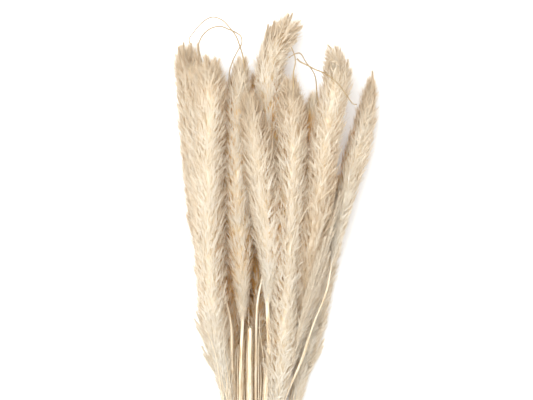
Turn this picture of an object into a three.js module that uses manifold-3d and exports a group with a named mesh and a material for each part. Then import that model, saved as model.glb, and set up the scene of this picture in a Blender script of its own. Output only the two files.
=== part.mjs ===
// A bundle of dried pampas grass, lying as it was put down: slim foxtail plumes on straw culms,
// held together by a few turns of twine.
//
// Units are millimetres. +Z is up and +Y runs along the bundle towards the plume tips. The origin is
// on the surface that the bundle lies on, under the middle of the tie.

import * as THREE from 'three';
import { mergeVertices } from 'three/addons/utils/BufferGeometryUtils.js';
import Module from 'manifold-3d';

// The gap left between neighbours that touch on the real bundle.
const GAP = 0.45;

// Tie: turns of twine wound side by side round the culms, pressed flat where they touch the surface.
const TWINE_DIAMETER = 2.4;
const TIE_TURNS = 5;
const TIE_INNER_RADIUS = 9.3;
const TIE_OUTER_RADIUS = TIE_INNER_RADIUS + TWINE_DIAMETER;
const TIE_EDGE = 1;
const VALLEY_DEPTH = 0.6;
const TIE_PRESSED = 0.9;
const TIE_HEIGHT = TIE_OUTER_RADIUS - TIE_PRESSED;
const TIE_WIDTH = TIE_TURNS * TWINE_DIAMETER;
const TIE_SIDES = 18;
const KNOT_SIZE = new THREE.Vector3(3.6, 4.6, 3);
const KNOT_ANGLE = THREE.MathUtils.degToRad(118);
const TAIL_LENGTH = 17;
const TAIL_SPLAY = 6;

// Culms: the bare stalks, packed six round one in the tie and spread a little at their cut feet.
const CULM_PITCH = 3.6;
const CULM_FOOT_RADIUS = 1.55;
const CULM_TOP_RADIUS = 1.15;
const CULM_SIDES = 5;
const FOOT_Y = -150;
const FOOT_UNEVEN = 24;
const FOOT_SPREAD = 1.35;
const GOLDEN_SHARE = 0.618;
const JOINT_Y = [-74, 104];
const JOINT_SWELL = 0.35;
const JOINT_HALF = 3;
const SHEATH_SWELL = 0.3;
const ABOVE_TIE_Y = 60;
const BEND_FROM_Y = 150;
const BEND_STEP = 45;

// Plumes: a slim core along the stalk, under rings of pointed tufts that lie up along it.
const SHORT_TIP = 10;
const PLUME_RISE = 65;
const PLUME_FALL = 58;
const PLUME_FOOT_SHARE = 0.25;
const LEAST_FLUFF = 1.2;
const CORE_SHARE = 0.56;
const CORE_SIDES = 6;
const CORE_STEP = 60;
const TUFT_RINGS_APART = 38;
const TUFTS_IN_RING = 5;
const TUFT_LENGTH = 60;
const TUFT_WIDTH = 9.5;
const TUFT_THICKNESS = 3.2;
const TUFT_CREST = 0.6;
const TUFT_WIDEST = 0.45;
const TUFT_LIFT = 0.6;
const TUFT_SUNK = 3.4;
const LAST_RING_SHORT = 16;
const OVER_TIP = 4;
const FIRST_SEED = 101;
const TURN_STRAY = 0.2;
const ROOT_STRAY = 5;
const LENGTH_STRAY = [0.85, 1.15];
const TIP_STRAY = [0.92, 1.12];
const TIP_LEAST = [1.5, 3.5];
const LEAST_REACH = 0.8;
const LEAST_FACING = 0.05;

// Strands and the bracts that they grow out of.
const STRAND_ROOT_RADIUS = 0.7;
const STRAND_TIP_RADIUS = 0.35;
const STRAND_SIDES = 3;
const STRAND_STEPS = 18;
const ROOT_RUNS_ON = TUFT_LENGTH / 2;
const BRACT_RISE = 16;
const BRACT_RADIUS = 1.8;

// Each stalk: its place in the tie as [column, row] of the packing, the full radius of its plume, and
// the plume's line from its base to its tip, [x, y, z] in mm. bare gives the line of a culm that is
// bare above the tie, up to the plume's base. rise is the length over which the plume's foot fills out,
// fall that over which its top closes, and sheath the width that a leaf sheath adds to the culm. The last
// stalk has lost its plume.
const STALKS = [
  {
    slot: [-1, -1],
    radius: 13,
    fall: 26,
    line: [[-30, 150, 14], [-44.5, 220, 13], [-51.5, 295, 12], [-58, 325, 12], [-62, 355, 12],
      [-67.5, 425, 12], [-71, 475, 13], [-73, 501, 14]],
  },
  {
    slot: [-1, 0],
    radius: 12,
    fall: 40,
    bare: [[-24, 145, 33], [-25.5, 185, 40], [-26.5, 222, 42]],
    line: [[-36, 262, 36], [-47, 305, 37], [-55, 365, 38], [-58, 405, 38], [-59, 445, 38], [-58, 480, 38]],
  },
  {
    slot: [-2, 1],
    radius: 14,
    rise: 100,
    fall: 38,
    line: [[-26, 118, 30], [-31, 155, 37], [-39, 195, 46], [-46, 255, 56], [-48, 315, 62], [-48, 375, 63],
      [-46, 435, 63], [-46, 484, 62]],
  },
  {
    slot: [0, -1],
    radius: 12.5,
    line: [[-15, 108, 12], [-20, 150, 13], [-25, 200, 13], [-27, 245, 13], [-30, 295, 12], [-34, 345, 12],
      [-38, 395, 12], [-44, 445, 13], [-49, 487, 14]],
  },
  {
    slot: [-1, 1],
    radius: 12.5,
    fall: 50,
    sheath: 0.5,
    bare: [[-17, 145, 31], [-16, 190, 35]],
    line: [[-14.5, 227, 39], [-14.5, 255, 43], [-16, 295, 46], [-19, 335, 47], [-20, 375, 47],
      [-20, 415, 47], [-18, 455, 47], [-15, 486, 47]],
  },
  {
    slot: [0, -2],
    radius: 12.5,
    line: [[-1, 108, 12], [0, 150, 13], [2, 200, 13], [1, 245, 13], [-2, 295, 12], [-5, 345, 12],
      [-5, 395, 12], [-2, 445, 12], [-1, 472, 13]],
  },
  {
    slot: [0, 0],
    radius: 14,
    fall: 22,
    bare: [[-1.5, 145, 27], [-1, 200, 31], [1, 245, 33]],
    line: [[8, 278, 35], [16, 312, 37], [16, 355, 38], [14, 395, 38], [12, 435, 38], [12, 470, 38],
      [16, 492, 38], [24, 508, 38], [35, 526, 38]],
  },
  {
    slot: [-1, 2],
    radius: 13,
    sheath: 0.9,
    bare: [[8, 145, 36], [12, 195, 46]],
    line: [[10.5, 245, 55], [12, 275, 60], [10, 305, 63], [5, 345, 65], [0, 385, 65], [-5, 420, 65],
      [-9, 450, 64]],
  },
  {
    slot: [0, 1],
    radius: 13,
    rise: 75,
    fall: 45,
    line: [[15, 105, 26], [20, 145, 34], [25, 190, 43], [28, 225, 50], [31, 265, 56], [33, 305, 60],
      [35, 345, 62], [36, 385, 63], [36, 425, 62], [34, 465, 61]],
  },
  {
    slot: [2, -2],
    radius: 12.5,
    line: [[13, 112, 12], [18, 155, 13], [23, 205, 13], [28, 245, 13], [33, 280, 12], [37, 320, 12],
      [41, 365, 12], [43, 405, 12], [44, 440, 12]],
  },
  {
    slot: [1, -1],
    radius: 11.5,
    line: [[44, 285, 35], [46, 315, 37], [49, 345, 38], [51, 385, 38], [54, 420, 38], [57, 450, 38]],
  },
  {
    slot: [1, 1],
    radius: 14,
    fall: 34,
    bare: [[26, 145, 27], [35, 190, 37]],
    line: [[44, 227, 46], [50, 265, 54], [55, 300, 59], [60, 335, 62], [63, 365, 63], [66, 395, 63],
      [69.5, 420, 63], [75, 445, 62], [78, 465, 61], [78, 482, 61], [74, 494, 62]],
  },
  {
    slot: [0, 2],
    radius: 12.5,
    fall: 90,
    bare: [[29, 147, 33.5], [45, 185, 37], [57, 222, 41], [69, 252, 43]],
    line: [[75, 283, 43], [81, 313, 41], [86.5, 340, 39], [92, 365, 37], [99.5, 390, 34], [106.5, 415, 31],
      [112, 440, 28], [116, 466, 25]],
  },
  {
    slot: [2, -1],
    radius: 13,
    rise: 70,
    line: [[31, 108, 13], [38.5, 140, 13], [46, 172, 12], [54, 200, 12], [59.5, 228, 12], [64, 255, 12],
      [70.5, 290, 12], [74.5, 325, 12], [80, 366, 14]],
  },
  {
    slot: [1, 0],
    radius: 11,
    line: [[32, 172, 25], [38, 200, 29], [46, 230, 33], [54, 260, 35], [62, 290, 36], [69, 318, 37],
      [76, 350, 38]],
  },
  {
    slot: [-2, 2],
    radius: 0,
    sheath: 1.1,
    line: [[-7.5, 145, 37], [-7.5, 185, 42], [-7, 221, 44]],
  },
];

// Dry strands: long bare ends that spring out of the plumes and curl over them. plume is the number of
// the plume that a strand grows out of, and the line runs from its root to its tip. The strand that
// names no plume is a branch, whose root lies on the strand before the last.
const STRANDS = [
  {
    plume: 3,
    line: [[-54, 468, 41], [-56, 485, 42], [-58.5, 500, 44], [-57, 505, 45], [-51, 513, 47],
      [-44, 517, 49], [-36, 518, 50], [-28, 515, 50], [-21, 512, 50], [-16, 508, 50], [-15, 502, 50],
      [-19, 494, 50], [-24, 484, 50], [-27, 475, 50], [-28, 460, 50.5], [-28, 448, 51]],
  },
  {
    plume: 5,
    line: [[-12, 472, 54], [-14, 488, 54.5], [-17, 498, 55], [-21, 508, 56], [-27, 516, 56],
      [-35, 524, 55], [-44, 527, 53], [-52, 524, 50], [-58, 519, 47], [-64, 512, 44], [-68, 506, 42],
      [-67, 502, 42], [-65, 501, 42]],
  },
  {
    plume: 9,
    line: [[36, 446, 69], [36, 458, 68], [36, 470, 65.5], [38, 483, 63], [37, 489, 62], [34, 496, 61]],
  },
  {
    plume: 11,
    line: [[61, 432, 43], [60, 450, 43], [57, 472, 43], [49, 483, 44], [42, 492, 45], [36, 490, 46],
      [32, 487, 47]],
  },
  {
    line: [[39.4, 484.6, 63], [43, 481.5, 63], [48, 479, 63.5], [57, 474, 66], [67, 469, 74],
      [78, 460, 79], [86, 450, 79], [91, 443, 76], [95, 439, 73], [98, 439, 71]],
  },
];

const PLUME_COLOUR = new THREE.Color(0.86, 0.77, 0.66);
const CULM_COLOUR = new THREE.Color(0.83, 0.7, 0.5);
const TWINE_COLOUR = new THREE.Color(0.6, 0.47, 0.32);
const plumeFinish = new THREE.MeshStandardMaterial({ color: PLUME_COLOUR, roughness: 0.85, metalness: 0 });
const culmFinish = new THREE.MeshStandardMaterial({ color: CULM_COLOUR, roughness: 0.5, metalness: 0 });
const twineFinish = new THREE.MeshStandardMaterial({ color: TWINE_COLOUR, roughness: 0.95, metalness: 0 });

const wasm = await Module();
wasm.setup();

// Seeded random numbers from 0 to 1.
function randomFrom(seed) {
  let state = seed;
  return () => {
    state = (state * 1664525 + 1013904223) % 4294967296;
    return state / 4294967296;
  };
}

function toSolid(geometry) {
  const bare = geometry.index ? geometry.toNonIndexed() : geometry.clone();
  for (const name of Object.keys(bare.attributes)) if (name !== 'position') bare.deleteAttribute(name);
  const merged = mergeVertices(bare, 1e-4);
  return new wasm.Manifold(new wasm.Mesh({
    numProp: 3,
    vertProperties: merged.attributes.position.array,
    triVerts: new Uint32Array(merged.index.array),
  }));
}

function toGeometry(solid) {
  const mesh = solid.getMesh();
  const geometry = new THREE.BufferGeometry();
  geometry.setAttribute('position', new THREE.BufferAttribute(new Float32Array(mesh.vertProperties), 3));
  geometry.setIndex(new THREE.BufferAttribute(new Uint32Array(mesh.triVerts), 1));
  geometry.computeVertexNormals();
  return geometry;
}

// A closed skin over rings of points that all turn the same way. A ring of one point is a pointed end.
function skin(rings) {
  const index = [];
  let start = 0;
  for (let ring = 0; ring < rings.length - 1; ring++) {
    const [here, there] = [rings[ring].length, rings[ring + 1].length];
    const next = start + here;
    const sides = Math.max(here, there);
    for (let side = 0; side < sides; side++) {
      const after = (side + 1) % sides;
      if (here > 1) index.push(start + side, start + after, next + (there > 1 ? after : 0));
      if (there > 1) index.push(start + (here > 1 ? side : 0), next + after, next + side);
    }
    start = next;
  }
  for (let side = 1; side < rings[0].length - 1; side++) index.push(0, side + 1, side);
  const last = rings.at(-1).length - 1;
  for (let side = 1; side < last; side++) index.push(start, start + side, start + side + 1);
  const geometry = new THREE.BufferGeometry().setFromPoints(rings.flat());
  geometry.setIndex(index);
  return geometry;
}

// A smooth line through points, read by its y.
class Line {
  constructor(points, steps) {
    this.curve = new THREE.CatmullRomCurve3(points.map((point) => new THREE.Vector3(...point)));
    this.samples = this.curve.getSpacedPoints(steps);
  }

  // The place and directions at one y of a line whose y only climbs. Past its ends it runs straight on.
  at(y) {
    const last = this.samples.length - 1;
    let i = this.samples.findIndex((sample) => sample.y > y) - 1;
    if (i < 0) i = y < this.samples[0].y ? 0 : last - 1;
    const [a, b] = [this.samples[i], this.samples[i + 1]];
    const place = a.clone().lerp(b, (y - a.y) / (b.y - a.y));
    const along = b.clone().sub(a).normalize();
    const side = along.clone().cross(new THREE.Vector3(0, 0, 1)).normalize();
    const up = side.clone().cross(along);
    return { place, side, up };
  }

  // Each place where a curling line passes one y. Its root counts as running on a little, below itself.
  crossings(y) {
    const root = this.samples[0];
    const found = y < root.y && y > root.y - ROOT_RUNS_ON ? [root.clone().setY(y)] : [];
    for (let i = 0; i < this.samples.length - 1; i++) {
      const [a, b] = [this.samples[i], this.samples[i + 1]];
      const passes = (a.y - y) * (b.y - y) <= 0 && a.y !== b.y;
      if (passes) found.push(a.clone().lerp(b, (y - a.y) / (b.y - a.y)));
    }
    return found;
  }
}

// At an angle round a line: the way out from it, and the way across that.
function directions(frame, angle) {
  const [cos, sin] = [Math.cos(angle), Math.sin(angle)];
  const out = frame.side.clone().multiplyScalar(cos).addScaledVector(frame.up, sin);
  const across = frame.up.clone().multiplyScalar(cos).addScaledVector(frame.side, -sin);
  return { out, across };
}

function ringOf(frame, sides, radiusTowards) {
  const points = [];
  for (let side = 0; side < sides; side++) {
    const { out } = directions(frame, -side / sides * Math.PI * 2);
    points.push(frame.place.clone().addScaledVector(out, radiusTowards(out)));
  }
  return points;
}

function tube(line, radiusAt, sides, stops) {
  return skin(stops.map((y) => ringOf(line.at(y), sides, () => radiusAt(y))));
}

// The whole stalk's line: cut foot, tie, any bare stretch, then the plume, or the culm's broken top.
function stalkLine({ slot: [column, row], bare = [], line }, number) {
  const x = (column + row / 2) * CULM_PITCH;
  const z = row * CULM_PITCH * Math.sin(Math.PI / 3);
  const uneven = ((number * GOLDEN_SHARE) % 1) * FOOT_UNEVEN;
  const foot = [x * FOOT_SPREAD, FOOT_Y + uneven, TIE_HEIGHT + z * FOOT_SPREAD];
  const inTie = [-TIE_WIDTH, TIE_WIDTH].map((y) => [x, y, TIE_HEIGHT + z]);
  return new Line([foot, ...inTie, ...bare, ...line], 240);
}

const stalks = STALKS.map((stalk, number) => {
  const tipY = stalk.line.at(-1)[1];
  const hasPlume = stalk.radius > 0;
  const baseY = hasPlume ? stalk.line[0][1] : tipY;
  const path = stalkLine(stalk, number);
  return { rise: PLUME_RISE, fall: PLUME_FALL, ...stalk, number, hasPlume, baseY, tipY, path };
});
const strands = STRANDS.map(({ plume: owner, line }) => ({ owner, path: new Line(line, 60) }));

// Radius of the plume's soft outline at a height y.
function fluff(stalk, y) {
  const above = THREE.MathUtils.clamp((y - stalk.baseY) / stalk.rise, 0, 1);
  const below = THREE.MathUtils.clamp((stalk.tipY - y) / stalk.fall, 0, 1);
  const filled = THREE.MathUtils.lerp(PLUME_FOOT_SHARE, 1, above);
  return Math.max(stalk.radius * filled * Math.sin(below * Math.PI / 2) ** 0.7, LEAST_FLUFF);
}

function coreRadius(stalk, y) {
  return Math.max(fluff(stalk, y) * CORE_SHARE, LEAST_FLUFF);
}

function culmRadius(stalk, y) {
  const share = THREE.MathUtils.clamp((y - FOOT_Y) / (stalk.baseY - FOOT_Y), 0, 1);
  const plain = THREE.MathUtils.lerp(CULM_FOOT_RADIUS, CULM_TOP_RADIUS, share);
  return plain + (y > JOINT_Y.at(-1) ? stalk.sheath ?? SHEATH_SWELL : 0);
}

// A wall that a plume stays inside: its direction from the plume's line, level with y, and its distance.
function wall(place, other, distanceOf) {
  const [x, z] = [other.x - place.x, other.z - place.z];
  const apart = Math.hypot(x, z);
  return { x: x / apart, z: z / apart, distance: distanceOf(apart) - GAP };
}

// All walls at one place of a plume: the surface below, half-way to each neighbouring plume by their
// radii, and just short of each culm and strand.
function wallsRound(stalk, place) {
  const mine = fluff(stalk, place.y);
  const others = stalks.filter((other) => other !== stalk && place.y <= other.tipY + SHORT_TIP);
  const stalkWalls = others.map((other) => {
    const theirs = fluff(other, place.y);
    const culm = culmRadius(other, place.y) + JOINT_SWELL;
    const toPlume = (apart) => apart * mine / (mine + theirs);
    const toCulm = (apart) => apart - culm;
    return wall(place, other.path.at(place.y).place, place.y < other.baseY ? toCulm : toPlume);
  });
  const crossings = strands.flatMap((strand) => strand.path.crossings(place.y));
  const near = crossings.filter((crossing) => crossing.distanceTo(place) < stalk.radius * 1.6);
  const strandWalls = near.map((crossing) => wall(place, crossing, (apart) => apart - STRAND_ROOT_RADIUS));
  return [{ x: 0, z: -1, distance: place.z }, ...stalkWalls, ...strandWalls];
}

// How far something may reach out, with its half width across, before it meets a wall.
function reach(walls, { out, across }, halfWidth, wanted) {
  let room = wanted;
  for (const { x, z, distance } of walls) {
    const facing = x * out.x + z * out.z;
    const taken = halfWidth * Math.abs(x * across.x + z * across.z);
    if (facing > LEAST_FACING) room = Math.min(room, (distance - taken) / facing);
  }
  return Math.max(room, LEAST_REACH);
}

function core(stalk) {
  const [from, to] = [stalk.baseY, stalk.tipY - SHORT_TIP];
  const steps = Math.round((to - from) / CORE_STEP);
  const rings = [];
  for (let step = 0; step <= steps; step++) {
    const frame = stalk.path.at(from + (to - from) * step / steps);
    const walls = wallsRound(stalk, frame.place);
    const wanted = coreRadius(stalk, frame.place.y);
    rings.push(ringOf(frame, CORE_SIDES, (out) => reach(walls, { out, across: out }, 0, wanted)));
  }
  return toSolid(skin(rings));
}

// One cross-section of a tuft: a crest at the wanted radius over two lower corners, or the crest alone
// where the tuft comes to a point.
function tuftSection(stalk, y, angle, pointed, wanted) {
  const frame = stalk.path.at(y);
  const ways = directions(frame, angle);
  const slim = pointed ? 0 : Math.min(1, fluff(stalk, y) / stalk.radius + 0.25);
  const halfWidth = TUFT_WIDTH / 2 * slim;
  const thickness = TUFT_THICKNESS * slim;
  const walls = wallsRound(stalk, frame.place);
  const room = reach(walls, ways, halfWidth, wanted + thickness * TUFT_CREST);
  const crest = frame.place.clone().addScaledVector(ways.out, room);
  if (pointed) return [crest];
  const under = frame.place.clone().addScaledVector(ways.out, room - thickness);
  const corner = (offset) => under.clone().addScaledVector(ways.across, offset);
  return [crest, corner(-halfWidth), corner(halfWidth)];
}

// One tuft: a three-sided blade, rooted in the core, widest near its middle, pointed at its tip.
function tuft(stalk, rootY, angle, length, random) {
  const middleY = rootY + length * TUFT_WIDEST;
  const tipY = rootY + length;
  const stray = THREE.MathUtils.lerp(...TIP_STRAY, random());
  const tipRadius = Math.max(fluff(stalk, tipY) * stray, THREE.MathUtils.lerp(...TIP_LEAST, random()));
  const middleRadius = THREE.MathUtils.lerp(coreRadius(stalk, middleY), fluff(stalk, middleY), TUFT_LIFT);
  return toSolid(skin([
    tuftSection(stalk, rootY, angle, true, Math.max(coreRadius(stalk, rootY) - TUFT_SUNK, 0)),
    tuftSection(stalk, middleY, angle, false, middleRadius),
    tuftSection(stalk, tipY, angle, true, tipRadius),
  ]));
}

// The bract that a strand grows out of: a slim spike from the plume's line up to the strand's root.
function bract(stalk, { path }) {
  const [root, next] = path.samples;
  const tip = root.clone().addScaledVector(next.clone().sub(root).normalize(), -GAP);
  const line = new Line([stalk.path.at(tip.y - BRACT_RISE).place, tip], 2);
  const radiusAt = (y) => (y < tip.y ? BRACT_RADIUS : STRAND_ROOT_RADIUS);
  return toSolid(tube(line, radiusAt, STRAND_SIDES, [line.samples[0].y, tip.y]));
}

function plume(stalk) {
  const random = randomFrom(FIRST_SEED + stalk.number);
  const highest = stalk.tipY - LAST_RING_SHORT;
  const rings = Math.round((highest - stalk.baseY) / TUFT_RINGS_APART);
  const pieces = [core(stalk)];
  for (let ring = 0; ring < rings; ring++) {
    for (let place = 0; place < TUFTS_IN_RING; place++) {
      const angle = (place + (ring % 2) / 2 + TURN_STRAY * random()) / TUFTS_IN_RING * Math.PI * 2;
      const rootY = stalk.baseY + (highest - stalk.baseY) * ring / rings + ROOT_STRAY * (1 + random());
      const wanted = TUFT_LENGTH * THREE.MathUtils.lerp(...LENGTH_STRAY, random());
      const length = Math.min(wanted, stalk.tipY + OVER_TIP * random() - rootY);
      pieces.push(tuft(stalk, rootY, angle, length, random));
    }
  }
  const grown = strands.filter((strand) => strand.owner === stalk.number + 1);
  const joined = wasm.Manifold.union([...pieces, ...grown.map((strand) => bract(stalk, strand))]);
  const [largest] = joined.decompose().sort((a, b) => b.volume() - a.volume());
  return toGeometry(largest);
}

// A culm from its cut foot to just under its plume, with swollen joints, and a sheath above the last.
function culm(stalk) {
  const footY = stalk.path.samples[0].y;
  const topY = stalk.baseY - GAP;
  const stops = [footY, -TIE_WIDTH, TIE_WIDTH, ABOVE_TIE_Y];
  for (const joint of JOINT_Y) stops.push(joint - JOINT_HALF, joint, joint + JOINT_HALF);
  for (let y = BEND_FROM_Y; y < topY - BEND_STEP / 4; y += BEND_STEP) stops.push(y);
  const inside = stops.filter((y) => y < topY - JOINT_HALF).sort((a, b) => a - b);
  const radiusAt = (y) => culmRadius(stalk, y) + (JOINT_Y.includes(y) ? JOINT_SWELL : 0);
  return tube(stalk.path, radiusAt, CULM_SIDES, [...inside, topY]);
}

function strand({ path }) {
  const { normals, binormals } = path.curve.computeFrenetFrames(STRAND_STEPS, false);
  return skin(normals.map((normal, step) => {
    const share = step / STRAND_STEPS;
    const frame = { place: path.curve.getPointAt(share), side: binormals[step], up: normal };
    const radius = THREE.MathUtils.lerp(STRAND_ROOT_RADIUS, STRAND_TIP_RADIUS, share);
    return ringOf(frame, STRAND_SIDES, () => radius);
  }));
}

// The turns of twine as one ring about the y axis, with a ridge for each turn.
function turns() {
  const half = TIE_WIDTH / 2;
  const outline = [[TIE_INNER_RADIUS, -half], [TIE_INNER_RADIUS + TIE_EDGE, -half]];
  for (let turn = 0; turn < TIE_TURNS; turn++) {
    const low = -half + turn * TWINE_DIAMETER;
    if (turn > 0) outline.push([TIE_OUTER_RADIUS - VALLEY_DEPTH, low]);
    outline.push([TIE_OUTER_RADIUS, low + TWINE_DIAMETER / 2]);
  }
  outline.push([TIE_INNER_RADIUS + TIE_EDGE, half], [TIE_INNER_RADIUS, half], [TIE_INNER_RADIUS, -half]);
  return new THREE.LatheGeometry(outline.map((point) => new THREE.Vector2(...point)), TIE_SIDES);
}

function tail(from, way) {
  const [x, y, z] = [from.x, from.y + way * KNOT_SIZE.y / 3, from.z];
  const bend = [x - TAIL_SPLAY * 0.4, y + way * TAIL_LENGTH / 2, z + TWINE_DIAMETER * 0.7];
  const end = [x - TAIL_SPLAY, y + way * TAIL_LENGTH, z - TWINE_DIAMETER * 0.3];
  const points = [[x, y, z], bend, end].sort((a, b) => a[1] - b[1]);
  const stops = points.map((point) => point[1]);
  return tube(new Line(points, 12), () => TWINE_DIAMETER / 2, CULM_SIDES, stops);
}

// The tie: the turns, a knot on their upper left with its two tails, all pressed flat on the surface.
function tie() {
  const knotPlace = new THREE.Vector3(Math.cos(KNOT_ANGLE), 0, Math.sin(KNOT_ANGLE));
  knotPlace.multiplyScalar(TIE_OUTER_RADIUS);
  const knot = new THREE.SphereGeometry(1, 8, 5);
  knot.scale(KNOT_SIZE.x, KNOT_SIZE.y, KNOT_SIZE.z);
  knot.rotateY(Math.PI / 2 - KNOT_ANGLE);
  knot.translate(knotPlace.x, knotPlace.y, knotPlace.z);
  const pieces = [turns(), knot, tail(knotPlace, 1), tail(knotPlace, -1)];
  const lifted = pieces.map((piece) => toSolid(piece.translate(0, 0, TIE_HEIGHT)));
  const depth = 4 * TIE_OUTER_RADIUS;
  const below = new THREE.BoxGeometry(depth, depth, depth).translate(0, 0, -depth / 2);
  return toGeometry(wasm.Manifold.union(lifted).subtract(toSolid(below)));
}

function named(name, geometry, material) {
  const mesh = new THREE.Mesh(geometry, material);
  mesh.name = name;
  return mesh;
}

const bundle = new THREE.Group();
for (const stalk of stalks) {
  const number = String(stalk.number + 1).padStart(2, '0');
  if (stalk.hasPlume) bundle.add(named(`plume_${number}`, plume(stalk), plumeFinish));
  bundle.add(named(`culm_${number}`, culm(stalk), culmFinish));
}
strands.forEach((one, index) => bundle.add(named(`strand_${index + 1}`, strand(one), culmFinish)));
bundle.add(named('tie', tie(), twineFinish));

export default bundle;
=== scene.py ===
"""A bundle of dried pampas grass, lying on a pale floor and seen from above.

The frame gives the plumes, culms, strands and tie as plain solids. This script replaces them: each
plume with thousands of fine hairs in pointed tufts, each culm with ribbed straw and leaf blades, each
strand with a thin dry stem, and the tie with twisted twine. It adds leaf threads and wisps. Lengths
are in millimetres, and become metres when a mesh is made. A form is a tuple of vertices, quads,
triangles and a UV place for each vertex.
"""

import math
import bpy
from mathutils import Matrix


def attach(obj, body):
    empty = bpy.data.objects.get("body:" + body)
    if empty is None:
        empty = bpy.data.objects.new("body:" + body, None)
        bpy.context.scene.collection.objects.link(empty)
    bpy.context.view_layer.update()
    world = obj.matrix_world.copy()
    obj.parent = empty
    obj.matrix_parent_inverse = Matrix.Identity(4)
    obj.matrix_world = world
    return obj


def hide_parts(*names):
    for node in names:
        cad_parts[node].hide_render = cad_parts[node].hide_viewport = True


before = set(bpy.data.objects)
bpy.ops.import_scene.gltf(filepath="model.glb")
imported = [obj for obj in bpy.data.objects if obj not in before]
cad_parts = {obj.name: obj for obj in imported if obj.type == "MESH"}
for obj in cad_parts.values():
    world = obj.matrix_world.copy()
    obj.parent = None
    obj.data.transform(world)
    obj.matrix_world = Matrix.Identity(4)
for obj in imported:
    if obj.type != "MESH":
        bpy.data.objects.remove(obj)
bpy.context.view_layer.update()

from types import SimpleNamespace

import bpy
import numpy as np

MM = 0.001
UV_NAME = "OFBake"
NO_QUADS = np.empty((0, 4), int)
NO_TRIANGLES = np.empty((0, 3), int)
GOLDEN_SHARE = 0.618
GOLDEN_ANGLE = math.pi * (3 - math.sqrt(5))
FIRST_SEED = 211

# Tie: turns of twine round the culms, then a knot with two tails. TAIL_Y is where a tail starts, bends
# and ends, beside the knot's middle.
TWINE_DIAMETER = 2.4
TIE_TURNS = 5
TIE_INNER_RADIUS = 9.3
TIE_OUTER_RADIUS = TIE_INNER_RADIUS + TWINE_DIAMETER
TIE_PRESSED = 0.9
TIE_HEIGHT = TIE_OUTER_RADIUS - TIE_PRESSED
TIE_WIDTH = TIE_TURNS * TWINE_DIAMETER
KNOT_ANGLE = math.radians(118)
KNOT_OUT = np.array([math.cos(KNOT_ANGLE), 0, math.sin(KNOT_ANGLE)])
KNOT_HALF = (2.4, 3.4, 1.4)
KNOT_PROUD = 0.4
TAIL_Y = (1.5, 8.5, 18)
TAIL_SPLAY, TAIL_BEND_SHARE = 6, 0.3
TAIL_RISE, TAIL_DROP = 3, 0.7
PLIES = 3
PLY_RADIUS = 0.66
PLY_OFFSET = 0.55
PLY_SIDES = 7
TWIST_PITCH = 7
TURN_STEPS, KNOT_STEPS, TAIL_STEPS = 75, 70, 24

# Culms: the bare stalks below the plumes.
CULM_PITCH = 3.6
CULM_FOOT_RADIUS = 1.55
CULM_TOP_RADIUS = 1.15
CULM_STEP, CULM_SIDES = 2.6, 14
FOOT_Y = -150
FOOT_UNEVEN = 24
FOOT_SPREAD = 1.35
JOINT_Y = (-74, 104)
JOINT_SWELL, JOINT_LENGTH = 0.35, 1.8
LONG_CULM_Y = 200
SHEATH_SWELL = 0.1
RIB = 0.05
TOP_JAG = 9

# From here to the tones of the hair, a pair in brackets is the least and the most of an even random
# draw, and a name that ends in VARY is the spread of a normal one. Angles are in radians.

# Leaf blades: folded strips. On a long culm they stand off it. Where a plume starts low they lie on
# its foot instead. BLADE_ANGLE is in half turns, from the right over the top. BLADE_U is the u of the
# two edges and the fold between them.
BLADES_ON_CULM = 4
BLADES_ON_FOOT = 5
BLADE_STEPS = 9
BLADE_WIDTH = 1.3
BLADE_SLIM = (0.5, 1)
BLADE_LENGTH = (45, 85)
BLADE_FROM_Y, BLADE_BELOW_PLUME = 85, 70
BLADE_ROUND_BASE = (-30, 20)
BLADE_UP_PLUME = 110
BLADE_OFF_CULM = (0.5, 2.5)
BLADE_ON_FLUFF = (0.9, 1.08)
BLADE_ANGLE = (0.1, 0.9)
BLADE_TWIST_VARY = 0.25
BLADE_FOLD = 0.5
BLADE_U = np.array([0.2, 0.5, 0.8])

# Plumes: the soft outline round the stalk's line, its lobes, and the ground core inside, whose darker
# colour is painted shade. The hair takes the outline no nearer to the tip than OUTLINE_BEFORE_TIP. Each of
# LOBE_WAVES has a length and the number of its turns round the plume, and LOBE_WAVES_SUM is about what
# they add up to.
PLUME_RISE = 65
PLUME_FALL = 58
PLUME_FOOT_SHARE = 0.25
TIP_BLUNT = 0.7
LEAST_FLUFF = 1.2
OUTLINE_BEFORE_TIP = 6
LOBE = 0.07
LOBE_WAVES = ((19, 1), (27, 2), (41, 1), (33, -2), (23, -1))
LOBE_WAVES_SUM = 1.6
HIDDEN_SHARE = 0.6
CORE_SHARE = 0.42
CORE_UNEVEN = (0.85, 1.1)
CORE_STEP, CORE_SIDES = 6.0, 12
CORE_BEFORE_BASE, CORE_BEFORE_TIP = 1, 12
CORE_LEAST, CORE_LEAST_ON_FLOOR, CORE_OVER_FLOOR = 1, 0.6, 0.5

# Tufts: each has a spine from inside the plume out to its outline, parted to the left or right, and
# hairs that leave the spine on all sides. They start at TUFT_ROOT and end at TUFT_REACH of the radius.
# Where a plume is pressed into another its tufts reach over to the other. Hairs grow from HAIR_FROM of
# the spine on, and crowd towards its tip. A hair's width is at least LEAST_WIDTH of the usual one, and
# MORE_WIDTH more on average.
TUFTS_PER_MM = 4.5
TUFTS_BEFORE_BASE, TUFTS_BEFORE_TIP = 8, 12
TUFT_LENGTH = 22
TUFT_PAST_TIP = (-14, 3)
TUFT_ROOT = (0.1, 0.5)
TUFT_REACH, REACH_VARY = 0.82, 0.14
TUFT_BEND = (0.8, 1.35)
TURN_VARY, SWING_VARY = 0.3, 0.2
PARTING = 0.55
PARTED = (0.3, 1)
PRESSED_FROM, PRESSED_OVER = 2.05, 0.85
BRIDGE, BRIDGE_SIDEWAYS = 0.28, 0.4
HAIRS_IN_TUFT = 40
HAIR_LENGTH = 12
HAIR_UNEVEN = (0.6, 1.3)
HAIR_AT_TIP = 0.4
HAIR_FROM, HAIR_CROWDING = 0.02, 0.7
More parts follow.
